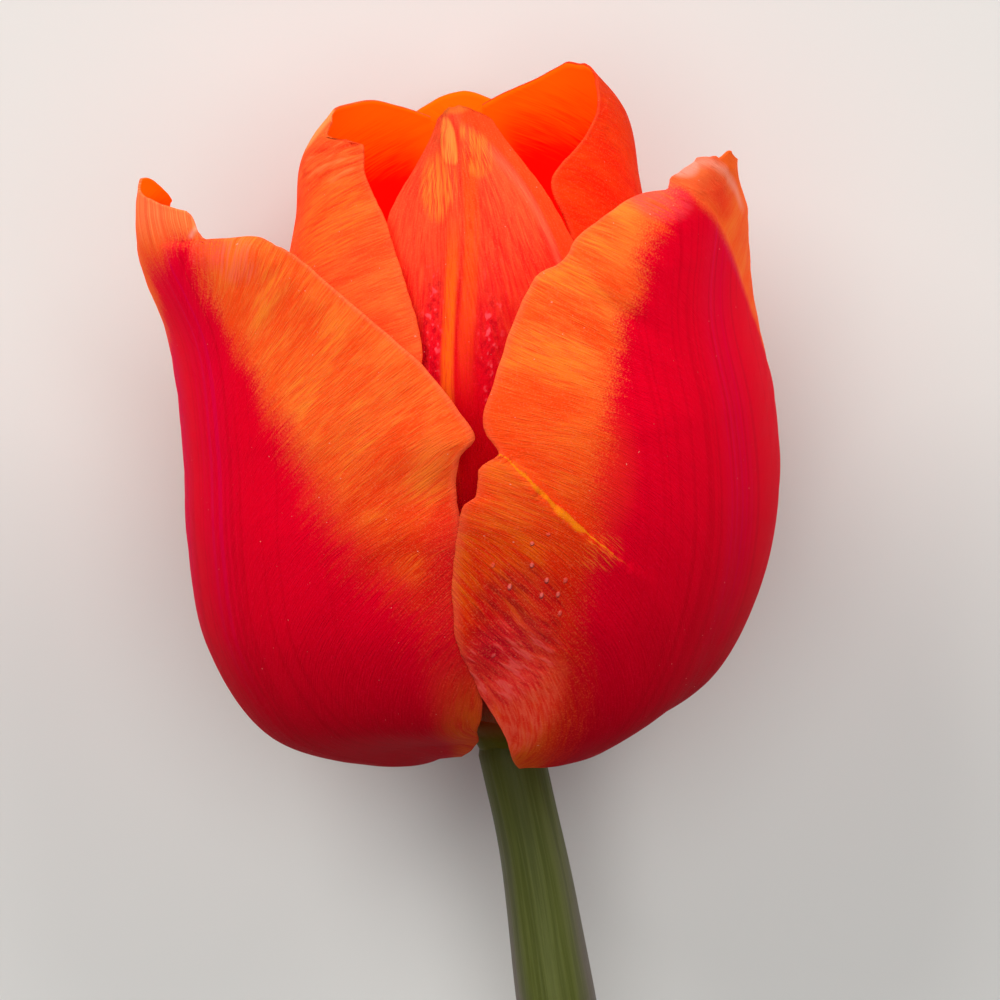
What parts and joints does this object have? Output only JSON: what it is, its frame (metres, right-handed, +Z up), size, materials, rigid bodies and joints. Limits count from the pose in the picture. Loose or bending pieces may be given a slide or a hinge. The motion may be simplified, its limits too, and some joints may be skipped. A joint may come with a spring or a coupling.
{
  "type": "cut tulip flower",
  "caption": "Cut tulip lying on a table: closed cup of red tepals with orange margins, bent green stem, clasping leaf.",
  "frame": {"origin": "on the table, in the middle of the lying flower's width and length", "axes": "+Z up from the table, +Y along the flower towards the bloom's tip, -Y towards the stem's cut end"},
  "size_m": [0.116, 0.2337, 0.0593],
  "materials": {
    "outer_tepal": "satin",
    "inner_tepal": "satin",
    "stamens": "matte",
    "pistil": "satin",
    "stem": "satin",
    "leaf": "satin"
  },
  "bodies": {
    "root": {"outer_tepal_left": "outer_tepal", "outer_tepal_right": "outer_tepal", "outer_tepal_back": "outer_tepal", "inner_tepal_front": "inner_tepal", "inner_tepal_left": "inner_tepal", "inner_tepal_right": "inner_tepal", "receptacle_with_stamens": "stamens", "pistil": "pistil", "stem": "stem", "leaf": "leaf"}
  },
  "joints": []
}
